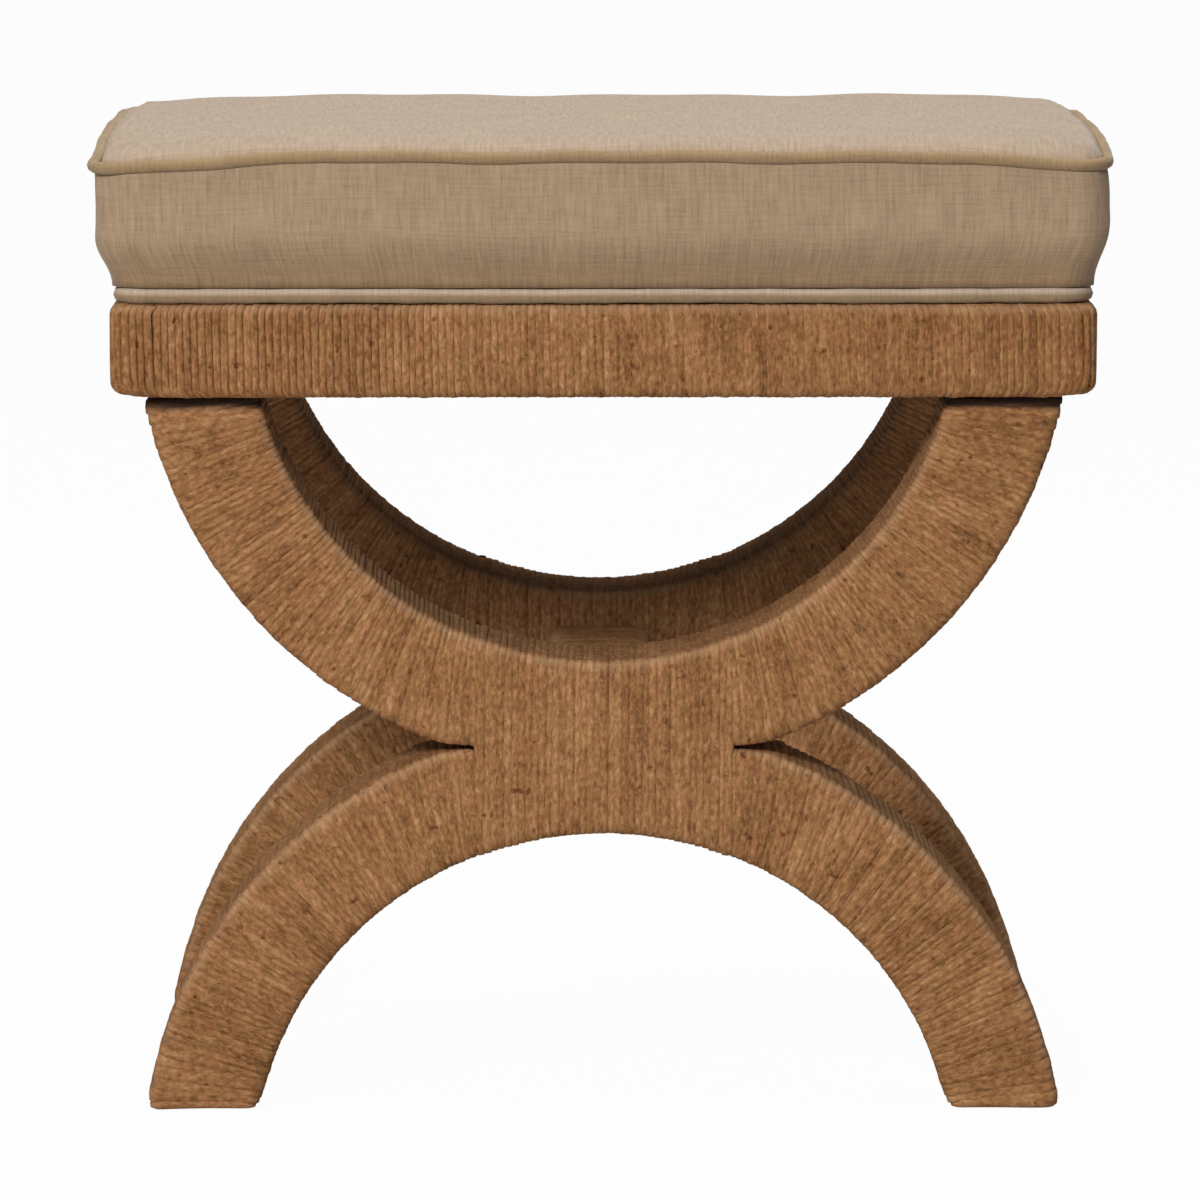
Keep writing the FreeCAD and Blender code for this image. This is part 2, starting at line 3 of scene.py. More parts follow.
import bpy
import numpy as np
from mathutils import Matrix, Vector


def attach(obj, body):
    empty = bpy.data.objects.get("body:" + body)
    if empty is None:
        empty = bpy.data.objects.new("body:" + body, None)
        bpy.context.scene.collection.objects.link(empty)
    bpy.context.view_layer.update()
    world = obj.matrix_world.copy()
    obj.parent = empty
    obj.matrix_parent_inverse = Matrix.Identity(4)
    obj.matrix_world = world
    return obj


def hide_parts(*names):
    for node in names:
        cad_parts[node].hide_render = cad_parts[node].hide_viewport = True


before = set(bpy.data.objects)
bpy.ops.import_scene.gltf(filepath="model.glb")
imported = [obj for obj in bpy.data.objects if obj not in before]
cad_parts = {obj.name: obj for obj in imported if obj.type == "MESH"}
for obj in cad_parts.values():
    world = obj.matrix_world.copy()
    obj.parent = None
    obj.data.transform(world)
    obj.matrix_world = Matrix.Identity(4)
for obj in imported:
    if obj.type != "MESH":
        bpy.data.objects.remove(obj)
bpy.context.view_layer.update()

# Looks of a cord-wrapped X-frame footstool. The shapes below are worked out in
# millimetres in the row frame, -Y to the front, and turned into metres as meshes.

# Cord windings
CORD_R = 1.75
CORD_SIDES = 8
SIDE_WANDER = 0.26
LIMB_TURNS, WAIST_TURNS, STRETCHER_TURNS, LONG_RAIL_TURNS, SHORT_RAIL_TURNS = 60, 37, 55, 130, 92

# Frames, over the cord: radii of the curved limbs and half their depth. A height w
# is measured from the waist, up along the U and down along the arch.
LIMB_IN, LIMB_OUT, LIMB_HALF = 173.5, 229.0, 30.0
UPPER_Z, LOWER_Z = 397.6, -35.0
WAIST_Z = (UPPER_Z + LOWER_Z) / 2
CENTRE_W = UPPER_Z - WAIST_Z
FRAME_Y = 128.4
FACE_Y = 98.4
ARM_W = 355.2 - WAIST_Z
# Height above which the upper limbs' cords get painted shade, under the rail.
DARK_END_Z = 348.9
FOOT_W = WAIST_Z - 1.2
BAND_HALF = 61.0
BAND_OVERLAP = 1.8
BAND_TOP = CENTRE_W - LIMB_IN
STRETCHER_HALF_X, STRETCHER_HALF_Z, STRETCHER_CORNER = 26.5, 25.0, 7.5

# Rail box
RAIL_X, RAIL_Y, RAIL_LOW, RAIL_HIGH, RAIL_DEEP = 239.5, 168.5, 355.2, 401.4, 29.0
RAIL_CORNER = 6.0
PARTING_X = 221.0

# Seat pad and its piping
PAD_X, PAD_Y, PAD_CORNER, PAD_BOW = 248.2, 175.0, 17.0, 1.5
BOARD_X, BOARD_Y, BOARD_CORNER = 232.0, 162.0, 12.0
DRAWN_IN, LEFT_BELLY, RIGHT_BELLY, SEAM_TUCK = 7.4, 0.44, 0.62, 1.8
GROOVE_INSET = 4.2
UNDER_ROWS, BOXING_ROWS = 16, 26
SEAM_Z, CROWN_Z = 473.1, 482.1
RAIL_TOP = 402.6
BOARD_TOP = 415.8
BOXING_FOOT = RAIL_TOP + 6.6
PIPE_TOP_R, PIPE_LOW_R = 3.0, 3.7


def smooth_noise(rng, length, step, wave):
    """Random values along a line, smooth over about one wave, of size about 1."""
    count = max(4, int(length / wave) + 3)
    knots = rng.normal(0.0, 1.0, count)
    at = np.arange(0.0, length, step) / wave
    low = np.clip(at.astype(int), 0, count - 2)
    part = at - low
    ease = part * part * (3 - 2 * part)
    return knots[low] * (1 - ease) + knots[low + 1] * ease


def mesh_object(name, points, faces):
    """A smooth mesh from millimetre points and a list of faces."""
    mesh = bpy.data.meshes.new(name)
    mesh.from_pydata((np.asarray(points) / 1000.0).tolist(), [], faces)
    mesh.validate()
    mesh.polygons.foreach_set("use_smooth", [True] * len(mesh.polygons))
    thing = bpy.data.objects.new(name, mesh)
    bpy.context.scene.collection.objects.link(thing)
    return thing


def point_values(thing, name, values, kind="FLOAT"):
    layer = thing.data.attributes.new(name, kind, "POINT")
    field = "value" if kind == "FLOAT" else "vector"
    layer.data.foreach_set(field, np.asarray(values, dtype=np.float32).ravel())


def rounded_loop(low_u, high_u, low_v, high_v, radius, flat_steps, corner_steps):
    """Closed line round a wrapped section, with its outward normals, as (u, v, nu, nv)."""
    rows = []
    corners = ((high_u - radius, high_v - radius, 0.0), (low_u + radius, high_v - radius, 90.0),
               (low_u + radius, low_v + radius, 180.0), (high_u - radius, low_v + radius, 270.0))
    for index, (cu, cv, start) in enumerate(corners):
        for step in range(corner_steps + 1):
            angle = math.radians(start + 90.0 * step / corner_steps)
            nu, nv = math.cos(angle), math.sin(angle)
            rows.append((cu + radius * nu, cv + radius * nv, nu, nv))
        nxt = corners[(index + 1) % 4]
        end = math.radians(start + 90.0)
        nu, nv = math.cos(end), math.sin(end)
        a = np.array([cu + radius * nu, cv + radius * nv])
        b = np.array([nxt[0] + radius * nu, nxt[1] + radius * nv])
        for step in range(1, flat_steps):
            rows.append((*(a + (b - a) * step / flat_steps), nu, nv))
    return np.array(rows)


def wind(name, node, loop, place_at, turns, seed, reverse=False, rail_shade=False):
    """One unbroken cord wound round a section, as a tube: it moves on along the member all the way round each
    turn, and presses against its neighbours. A winding that ends under the rail can get painted shade at its
    top end."""
    rng = np.random.default_rng(seed)
    if reverse:
        loop = loop[::-1]
    per_turn = len(loop)
    count = int(turns * per_turn)
    index = np.arange(count)
    which = index % per_turn
    place = (0.03 + index / count * (turns - 0.06)) / turns
    u, v, nu, nv = loop[which].T
    pitch_place = 1.0 / turns
    wander = smooth_noise(rng, count, 1.0, per_turn / 5.0)[:count]
    lift = smooth_noise(rng, count, 1.0, per_turn / 7.0)[:count]
    girth = smooth_noise(rng, count, 1.0, per_turn / 6.0)[:count]
    ahead = place_at(u, v, place + 0.5 * pitch_place)
    behind = place_at(u, v, place - 0.5 * pitch_place)
    pitch = np.linalg.norm(ahead - behind, axis=1)
    place = place + wander * SIDE_WANDER / np.maximum(pitch, 1.0) * pitch_place * 0.5
    raised = 0.10 * lift
    centre = place_at(u + nu * raised, v + nv * raised, place)
    outward = place_at(u + nu * 0.5, v + nv * 0.5, place) - place_at(u - nu * 0.5, v - nv * 0.5, place)
    run = np.gradient(centre, axis=0)
    run /= np.linalg.norm(run, axis=1, keepdims=True) + 1e-9
    outward -= run * np.sum(outward * run, axis=1, keepdims=True)
    outward /= np.linalg.norm(outward, axis=1, keepdims=True) + 1e-9
    across = np.cross(run, outward)
    half = np.clip(0.5 * pitch * 1.75, 1.6, 4.4) * (1 + 0.05 * girth)
    thick = CORD_R * (1 + 0.06 * girth)
    angles = 2 * math.pi * (np.arange(CORD_SIDES) / CORD_SIDES) - math.pi / 2
    flattened = np.sign(np.sin(angles)) * np.abs(np.sin(angles)) ** 0.5
    points = (centre[:, None, :] + across[:, None, :] * (half[:, None] * np.cos(angles))[:, :, None]
              + outward[:, None, :] * (thick[:, None] * flattened)[:, :, None])
    ring = np.arange(count - 1)[:, None] * CORD_SIDES
    side = np.arange(CORD_SIDES)[None, :]
    nxt = (side + 1) % CORD_SIDES
    ahead = ring + CORD_SIDES
    quads = np.stack([ring + side, ring + nxt, ahead + nxt, ahead + side], axis=2)
    thing = mesh_object(name, points.reshape(-1, 3), quads.reshape(-1, 4).tolist())
    # Painted highlight: the section's rounded corners are paler where they face up.
    edge_highlight = 4 * (nu * nv) ** 2 * np.clip(0.3 + 1.4 * outward[:, 2], 0, 1)
    step = np.linalg.norm(np.diff(centre, axis=0), axis=1)
    travelled = np.concatenate([[0.0], np.cumsum(step)])
    tone = smooth_noise(rng, count, 1.0, per_turn * 0.9)[:count]
    fleck = smooth_noise(rng, count, 1.0, per_turn / 9.0)[:count]
    point_values(thing, "around", np.tile(np.arange(CORD_SIDES) / CORD_SIDES, count))
    for label, values in (("travelled", travelled), ("tone", tone), ("fleck", fleck), ("edge_highlight", edge_highlight)):
        point_values(thing, label, np.repeat(values, CORD_SIDES))
    # Painted shade under the rail: the cord darkens towards its top end.
    if rail_shade:
        point_values(thing, "rail_shade", np.clip((points[:, :, 2].ravel() - DARK_END_Z) / 1.4, 0, 1))
    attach(thing, "root")
    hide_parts(node)
    return thing


def limb_place(mid_y, lift, side, toward_middle, end_w):
    """Where a turn lies on a curved limb: upright beside the waist band, level at the far end."""
    last_w = end_w + 0.15 if lift < 0 else end_w - 0.4
    inner = (math.asin((BAND_HALF - 0.4) / LIMB_IN), math.acos((CENTRE_W - last_w) / LIMB_IN))
    outer = (math.radians(15.7), math.acos((CENTRE_W - last_w) / LIMB_OUT))
    middle = 0.5 * (LIMB_IN + LIMB_OUT)

    def place_at(r, v, place):
        share = (r - LIMB_IN) / (LIMB_OUT - LIMB_IN)
        upright = np.clip(1 - place / 0.6, 0, 1) ** 1.3
        level = np.clip((place - 0.90) / 0.10, 0, 2)
        lean = (outer[0] - inner[0]) * upright + (outer[1] - inner[1]) * level
        angle = inner[0] + (inner[1] - inner[0]) * place + share * lean
        x = r * np.sin(angle)
        w = CENTRE_W - r * np.cos(angle)
        w = np.where(w < 6.0, 1.9 + 4.1 * np.exp((w - 6.0) / 4.1), w)
        w = np.minimum(w, end_w - 1.6)
        if lift < 0:
            for inward, reach, depth in ((1, 11.0, 6.0), (-1, 8.0, 4.0)):
                near_end = np.clip((w - (end_w - reach)) / reach, 0, 1)
                draw = depth * (1 - np.sqrt(1 - 0.98 * near_end ** 2))
                x = x + inward * draw * np.clip(inward * (middle - r) / (middle - LIMB_IN), 0, 1)
        return np.stack([side * x, mid_y + toward_middle * v, WAIST_Z + lift * w], axis=1)

    return place_at


def waist_place(mid_y):
    """Upright turns round the waist, whose top and bottom follow the limbs' inner arcs."""
    def place_at(u, v, place):
        x = 2 * (BAND_HALF + BAND_OVERLAP) * (place - 0.5)
        top = CENTRE_W - np.sqrt(LIMB_IN ** 2 - x ** 2)
        height = np.sign(u) * (top - (BAND_TOP - np.abs(u)))
        return np.stack([x, mid_y + v, WAIST_Z + height], axis=1)

    return place_at


def stretcher_place(u, v, place):
    """Upright turns along the stretcher, from the front frame to the rear one."""
    return np.stack([u, 2 * FACE_Y * (place - 0.5), WAIST_Z + v], axis=1)


def rail_place(direction, sign):
    """Upright turns along a mitred rail, fanned from the outer face to the inner one."""
    length, span = (RAIL_X, RAIL_Y) if direction == "x" else (RAIL_Y, RAIL_X)

    def place_at(depth, z, place):
        along = 2 * (place - 0.5) * (length - depth)
        across = span - depth
        over_a = np.abs(along) - (length - RAIL_CORNER)
        over_b = across - (span - RAIL_CORNER)
        reach = np.hypot(np.maximum(over_a, 0), np.maximum(over_b, 0))
        limit = RAIL_CORNER - CORD_R
        outside = (over_a > 0) & (over_b > 0) & (reach > limit)
        shrink = np.where(outside, limit / np.maximum(reach, 1e-6), 1.0)
        along = np.where(shrink < 1, np.sign(along) * (length - RAIL_CORNER + over_a * shrink), along)
        across = np.where(shrink < 1, span - RAIL_CORNER + over_b * shrink, across)
        near_end = np.clip((np.abs(along) - (length - 26.0)) / 26.0, 0, 1)
        low = np.clip((RAIL_LOW + 20.0 - z) / 20.0, 0, 1)
        z = z + 3.0 * near_end ** 2 * low
        along = along - np.sign(along) * 4.0 * near_end ** 2 * low ** 3
        if direction == "x" and sign < 0:
            from_gap = along + PARTING_X
            along = along + 0.55 * np.tanh(from_gap / 0.7) * np.exp(-(from_gap / 8.0) ** 2)
        across = sign * across
        pair = (along, across) if direction == "x" else (across, along)
        return np.stack([pair[0], pair[1], z], axis=1)

    return place_at


# ---- windings
cords = []
limb_loop = rounded_loop(LIMB_IN + CORD_R, LIMB_OUT - CORD_R, CORD_R - LIMB_HALF, LIMB_HALF - CORD_R,
                         4.0, 11, 4)
seed = 100
for frame_name, sy in (("front", -1), ("rear", 1)):
    for side_name, side in (("left", -1), ("right", 1)):
        for level_name, lift, end_w in (("upper", 1, ARM_W), ("lower", -1, FOOT_W)):
            seed += 1
            node = "%s_%s_%s_wrap" % (frame_name, level_name, side_name)
            place_at = limb_place(sy * FRAME_Y, lift, side, -sy, end_w)
            flip = side * lift * sy > 0
            # The upper limbs get painted shade at their top ends, under the rail.
            cords.append(wind(node + "_cord", node, limb_loop, place_at, LIMB_TURNS, seed, flip,
                              rail_shade=lift > 0))
    seed += 1
    band_loop = rounded_loop(CORD_R - BAND_TOP - 0.4, BAND_TOP - CORD_R + 0.4, CORD_R - LIMB_HALF - 0.5,
                             LIMB_HALF - CORD_R + 0.5, 4.0, 14, 4)
    node = frame_name + "_waist_wrap"
    cords.append(wind(node + "_cord", node, band_loop, waist_place(sy * FRAME_Y), WAIST_TURNS, seed))
stretcher_loop = rounded_loop(CORD_R - STRETCHER_HALF_X, STRETCHER_HALF_X - CORD_R, CORD_R - STRETCHER_HALF_Z,
                              STRETCHER_HALF_Z - CORD_R, STRETCHER_CORNER, 10, 5)
cords.append(wind("stretcher_wrap_cord", "stretcher_wrap", stretcher_loop, stretcher_place,
                  STRETCHER_TURNS, 131))
rail_loop = rounded_loop(CORD_R, RAIL_DEEP - CORD_R, RAIL_LOW + CORD_R, RAIL_HIGH - CORD_R, 4.0, 9, 4)
for rail_name, direction, sign in (("front", "x", -1), ("rear", "x", 1),
                                   ("left", "y", -1), ("right", "y", 1)):
    seed += 1
    node = rail_name + "_rail_wrap"
    flip = (sign > 0) == (direction == "x")
    turns = LONG_RAIL_TURNS if direction == "x" else SHORT_RAIL_TURNS
    cords.append(wind(node + "_cord", node, rail_loop, rail_place(direction, sign), turns, seed, flip))


# ---- seat pad
def pad_outline(half_x, half_y, corner, bow, counts=(110, 78, 22)):
    """Rounded rectangle with sides that bow out, always with the same number of points."""
    long_steps, short_steps, corner_steps = counts
    corner = min(corner, half_x * 0.98, half_y * 0.98)
    rows = []
    quarters = ((half_x - corner, half_y - corner, 0.0), (corner - half_x, half_y - corner, 90.0),
                (corner - half_x, corner - half_y, 180.0), (half_x - corner, corner - half_y, 270.0))
    for index, (cx, cy, start) in enumerate(quarters):
        for step in range(corner_steps + 1):
            angle = math.radians(start + 90.0 * step / corner_steps)
            rows.append((cx + corner * math.cos(angle), cy + corner * math.sin(angle)))
        nxt = quarters[(index + 1) % 4]
        end = math.radians(start + 90.0)
        a = np.array([cx + corner * math.cos(end), cy + corner * math.sin(end)])
        b = np.array([nxt[0] + corner * math.cos(end), nxt[1] + corner * math.sin(end)])
        steps = long_steps if index % 2 == 0 else short_steps
        for step in range(1, steps):
            rows.append(tuple(a + (b - a) * step / steps))
    ring = np.array(rows)
    reach_x = np.clip(np.abs(ring[:, 0]) / half_x, 0, 1)
    reach_y = np.clip(np.abs(ring[:, 1]) / half_y, 0, 1)
    ring[:, 0] *= 1 - bow / half_x * (reach_y ** 2)
    ring[:, 1] *= 1 - bow / half_y * (reach_x ** 2)
    return ring


def corner_dip(x, y):
    """How far the seam sinks towards each corner of the pad."""
    near_x = np.clip((np.abs(x) - 135.0) / 112.0, 0, 1)
    near_y = np.clip((np.abs(y) - 90.0) / 82.0, 0, 1)
    depth = np.where(x < 0, 6.6, 4.6) * np.where(y < 0, 1.0, np.where(x < 0, 0.3, 0.7))
    return depth * (near_x * near_y) ** 1.3


def seam_height(x, y):
    wave = 0.35 * np.sin(x / 23.0 + 0.7) + 0.3 * np.sin(x / 11.0 + y / 19.0) + 0.25 * np.sin(y / 13.0 + 2.0)
    side_rise = 2.6 * np.clip(np.abs(x) / PAD_X, 0, 1) ** 8 * (1 - np.clip(np.abs(y) / 150.0, 0, 1) ** 2)
    return SEAM_Z - corner_dip(x, y) + wave + side_rise


def side_inset(share):
    """How far the pad's side is drawn in, from the foot of its boxing up to its seam."""
    return DRAWN_IN * 0.5 * (1 + math.cos(math.pi * min(1.0, share / LEFT_BELLY)))


def right_belly(share):
    """How much further in the pad's right side lies than its left: it bellies out higher up,
    and its seam is tucked in."""
    right, left = (math.cos(math.pi * min(1.0, share / belly)) for belly in (RIGHT_BELLY, LEFT_BELLY))
    return DRAWN_IN * 0.5 * (right - left) + SEAM_TUCK * max(0.0, (share - 0.72) / 0.28) ** 2


def near_right(x):
    """Rises from 0 to 1 towards the pad's right side."""
    return np.clip((x - 190.0) / 40.0, 0, 1)


def pad_rings():
    """Rows of the pad's closed surface, from the middle of its underside up to its crown."""
    rows = []
    # Under the foam, down the board's edge, in below it and out again round the fold
    under = [(grow, BOARD_TOP + 0.2) for grow in (-150.0, -100.0, -50.0, -6.0, 0.0)]
    under += [(grow, RAIL_TOP + rise) for grow, rise in
              ((0.0, 7.0), (0.0, 1.4), (-20.0, 1.2), (-41.5, 1.2), (-42.0, 0.5), (-41.5, 0.1),
               (-20.0, 0.05), (0.6, 0.15), (1.2, 1.0), (1.4, 4.0), (2.6, 6.3))]
    for grow, z in under:
        ring = pad_outline(BOARD_X + grow, BOARD_Y + grow, max(2.0, BOARD_CORNER + grow), 0.0)
        rows.append(np.column_stack([ring, np.full(len(ring), z)]))
    for share in np.linspace(0.0, 1.0, BOXING_ROWS):
        inset = side_inset(share)
        ring = pad_outline(PAD_X - inset, PAD_Y - inset, PAD_CORNER, PAD_BOW)
        ring[:, 0] -= right_belly(share) * near_right(ring[:, 0])
        top = seam_height(*ring.T) - PIPE_TOP_R - 0.3
        z = BOXING_FOOT + (top - BOXING_FOOT) * share
        rows.append(np.column_stack([ring, z]))
    # Groove behind the top piping
    for inset, rise in ((1.6, 1.0), (3.0, 1.8), (3.2, 4.4), (GROOVE_INSET, 6.6)):
        ring = pad_outline(PAD_X - inset, PAD_Y - inset, PAD_CORNER, PAD_BOW)
        ring[:, 0] -= SEAM_TUCK * (GROOVE_INSET - inset) / 2.6 * near_right(ring[:, 0])
        rows.append(np.column_stack([ring, seam_height(*ring.T) - PIPE_TOP_R - 0.3 + rise]))
    for share in np.linspace(0.0, 1.0, 34)[1:]:
        inset = GROOVE_INSET + (PAD_Y - 7.6) * share
        ring = pad_outline(PAD_X - inset, PAD_Y - inset, PAD_CORNER + 0.2 * inset, PAD_BOW * (1 - share))
        rows.append(np.column_stack([ring, top_height(*ring.T)]))
    return rows


def top_height(x, y):
    """Crown of the pad's top, with the slight swell of its filling."""
    a = np.clip(np.abs(x) / (PAD_X - 5.0), 0, 1)
    b = np.clip(np.abs(y) / (PAD_Y - 5.0), 0, 1)
    edge = seam_height(x, y) + 3.4
    sideways = np.where(x < 0, (1 - a ** 10.0) ** 1.1, (1 - a ** 20.0) ** 0.8)
    fullness = sideways * (1 - b ** 12.0) ** 0.6
    crown = CROWN_Z - (SEAM_Z + 3.4)
    swell = 0.35 * np.sin(x / 37.0 + 1.1) * np.sin(y / 29.0 + 0.4) + 0.22 * np.sin(x / 19.0 + y / 27.0)
    dip = corner_dip(x, y)
    plump = 1.9 * np.exp(-((np.abs(x) - 240.0) / 10.5) ** 2)
    plump = plump * np.clip((y - 50.0) / 90.0, 0, 1) * (1 - b ** 20.0)
    pulls = 0.5 * np.sin(y / 5.5 + 0.4 * np.sin(y / 17.0)) * np.exp(-((PAD_X - 12.0 - np.abs(x)) / 9.0) ** 2)
    pulls = pulls * np.clip(1 - (np.abs(y) / 170.0) ** 6, 0, 1)
    return edge + (crown + dip * 0.9 + swell) * fullness + plump + pulls * np.where(x < 0, 1.0, 0.7)


def seat_pad():
    """Foam and cover in one closed mesh, with folds in its boxing."""
    rows = pad_rings()
    width = len(rows[0])
    points = np.vstack(rows)
    rng = np.random.default_rng(7)
    girth = rows[UNDER_ROWS + 14][:, :2]
    around = np.concatenate([[0.0], np.cumsum(np.linalg.norm(np.diff(girth, axis=0), axis=1))])
    total = around[-1] + np.linalg.norm(girth[0] - girth[-1])
    boxing = slice(UNDER_ROWS * width, (UNDER_ROWS + BOXING_ROWS) * width)
    seam_row = slice(boxing.stop, boxing.stop + width)
    side = points[boxing]
    s = np.tile(around, BOXING_ROWS)
    z = side[:, 2]
    belly = np.sin(np.pi * np.clip((z - BOXING_FOOT) / 60.0, 0, 1))
    folds = np.zeros(len(side))
    for wave, size, tilt in ((61.0, 0.45, 0.05), (33.0, 0.28, -0.12), (17.0, 0.14, 0.2)):
        turns = round(total / wave)
        folds += size * np.sin(2 * math.pi * turns * s / total + tilt * (z - 430) + rng.uniform(0, 6))
    corner = np.clip((np.abs(side[:, 0]) - 205) / 35, 0, 1) * np.clip((np.abs(side[:, 1]) - 135) / 33, 0, 1)
    folds += 0.8 * corner * np.sin((z - 410) / 9.0)
    outward = side[:, :2] / np.array([PAD_X, PAD_Y])
    outward = np.sign(outward) * np.abs(outward) ** 7
    outward /= np.linalg.norm(outward, axis=1, keepdims=True) + 1e-9
    points[boxing, :2] += outward * (folds * belly * 0.8)[:, None]
    faces = []
    for row in range(len(rows) - 1):
        base = row * width
        for k in range(width):
            n = (k + 1) % width
            faces.append((base + k, base + n, base + n + width, base + k + width))
    last = (len(rows) - 1) * width
    middle_top, middle_low = len(points), len(points) + 1
    for k in range(width):
        n = (k + 1) % width
        faces.append((last + k, last + n, middle_top))
        faces.append((n, k, middle_low))
    crown = top_height(np.array([0.0]), np.array([0.0]))[0]
    points = np.vstack([points, [0.0, 0.0, crown], [0.0, 0.0, BOARD_TOP + 0.2]])
    thing = mesh_object("seat_pad", points, faces)
    # Where the cloth lies flat, in millimetres: its boxing is laid out beside its top
    flat = points.copy()
    flat[:, 2] = 0.0
    flat[boxing, 0] = s
    flat[boxing, 1] = z + 1000.0
    flat[seam_row, 0] = around
    flat[seam_row, 1] = points[seam_row, 2] + 1000.0
    is_side = np.zeros(len(points))
    is_side[boxing.start:seam_row.stop] = 1.0
    point_values(thing, "weave", flat, "FLOAT_VECTOR")
    point_values(thing, "boxing", is_side)
    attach(thing, "root")
    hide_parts("seat_cover", "foam_core")
    return thing


def piping(name, node, ring, heights, radius):
    """Covered cord sewn round the pad, a little uneven."""
    sides = 10
    count = len(ring)
    route = np.column_stack([ring, heights])
    run = np.roll(route, -1, axis=0) - np.roll(route, 1, axis=0)
    run /= np.linalg.norm(run, axis=1, keepdims=True)
    out = np.cross(run, np.array([0, 0, 1.0]))
    out /= np.linalg.norm(out, axis=1, keepdims=True)
    up = np.cross(out, run)
    travelled = np.concatenate([[0.0], np.cumsum(np.linalg.norm(np.diff(route, axis=0), axis=1))])
    girth = 1 + 0.03 * np.sin(travelled / 7.0) + 0.025 * np.sin(travelled / 3.1 + 1.0)
    angles = 2 * math.pi * np.arange(sides) / sides
    reach = radius * girth[:, None]
    points = (route[:, None, :] + out[:, None, :] * (reach * np.cos(angles))[:, :, None]
              + up[:, None, :] * (reach * np.sin(angles))[:, :, None])
    index = np.arange(count)[:, None] * sides
    side = np.arange(sides)[None, :]
    nxt = (side + 1) % sides
    ahead = ((np.arange(count)[:, None] + 1) % count) * sides
    quads = np.stack([index + side, index + nxt, ahead + nxt, ahead + side], axis=2)
    thing = mesh_object(name, points.reshape(-1, 3), quads.reshape(-1, 4).tolist())
    point_values(thing, "travelled", np.repeat(travelled, sides))
    point_values(thing, "around", np.tile(np.arange(sides) / sides, count))
    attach(thing, "root")
    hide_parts(node)
    return thing


pad = seat_pad()
PIPE_COUNTS = (300, 210, 30)
top_ring = pad_outline(PAD_X + 2.0 - PIPE_TOP_R, PAD_Y + 2.0 - PIPE_TOP_R, 16.0, PAD_BOW, PIPE_COUNTS)
pulled = np.exp(-((top_ring[:, 0] + PAD_X) / 26.0) ** 2 - ((top_ring[:, 1] + PAD_Y) / 26.0) ** 2)
top_ring[:, 0] -= 3.2 * pulled
tucked = np.exp(-((top_ring[:, 0] - PAD_X) / 22.0) ** 2 - ((top_ring[:, 1] + PAD_Y) / 22.0) ** 2)
top_ring[:, 0] -= 1.8 * tucked
top_pipe = piping("top_piping_cord", "top_piping", top_ring, seam_height(*top_ring.T), PIPE_TOP_R)
low_ring = pad_outline(RAIL_X + 0.4 - PIPE_LOW_R, RAIL_Y + 0.4 - PIPE_LOW_R, 12.0, 1.0, PIPE_COUNTS)
low_wave = 0.15 * np.sin(low_ring[:, 0] / 27.0) + 0.12 * np.sin(low_ring[:, 1] / 17.0)
low_pipe = piping("bottom_piping_cord", "bottom_piping", low_ring, RAIL_TOP + 2.6 + low_wave, PIPE_LOW_R)


def dust_sheet():
    """Black cloth tacked under the rails, sagging a little between its tacks."""
    half_x, half_y = 188.2, 138.4
    columns, rows_count = 60, 44
    xs = np.linspace(-half_x, half_x, columns)
    ys = np.linspace(-half_y, half_y, rows_count)
    grid_x, grid_y = np.meshgrid(xs, ys)
    hang = (1 - (grid_x / half_x) ** 2) * (1 - (grid_y / half_y) ** 2)
    z = RAIL_TOP - 0.5 - 2.2 * hang ** 0.8 + 0.12 * np.sin(grid_x / 21.0) * np.sin(grid_y / 16.0) * hang
    points = np.column_stack([grid_x.ravel(), grid_y.ravel(), z.ravel()])
    faces = []
    for row in range(rows_count - 1):
        for column in range(columns - 1):
            a = row * columns + column
            faces.append((a, a + 1, a + 1 + columns, a + columns))
    thing = mesh_object("dust_sheet", points, faces)
    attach(thing, "root")
    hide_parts("dust_cover")
    return thing


dust = dust_sheet()


# ---- materials
FOOT_SHADE_Z = 409.0
JUTE_DARK = (0.12, 0.052, 0.022)
JUTE_LOW = (0.235, 0.112, 0.048)
JUTE_MID = (0.315, 0.155, 0.068)
JUTE_HIGH = (0.415, 0.225, 0.108)
JUTE_PALE = (0.58, 0.37, 0.21)
# Pale colour of the painted highlight on upward-facing cord corners.
JUTE_HIGHLIGHT = (0.60, 0.42, 0.27, 1.0)
# Near-black colour of the painted shade under the rail.
RAIL_SHADE_DARK = (0.022, 0.014, 0.014, 1.0)
LINEN_TINT = (0.347, 0.253, 0.169)
TOP_PIPING_TINT = (0.292, 0.204, 0.114)
LOW_PIPING_TINT = (0.275, 0.193, 0.115)
UNCHANGED = (1.0, 1.0, 1.0)


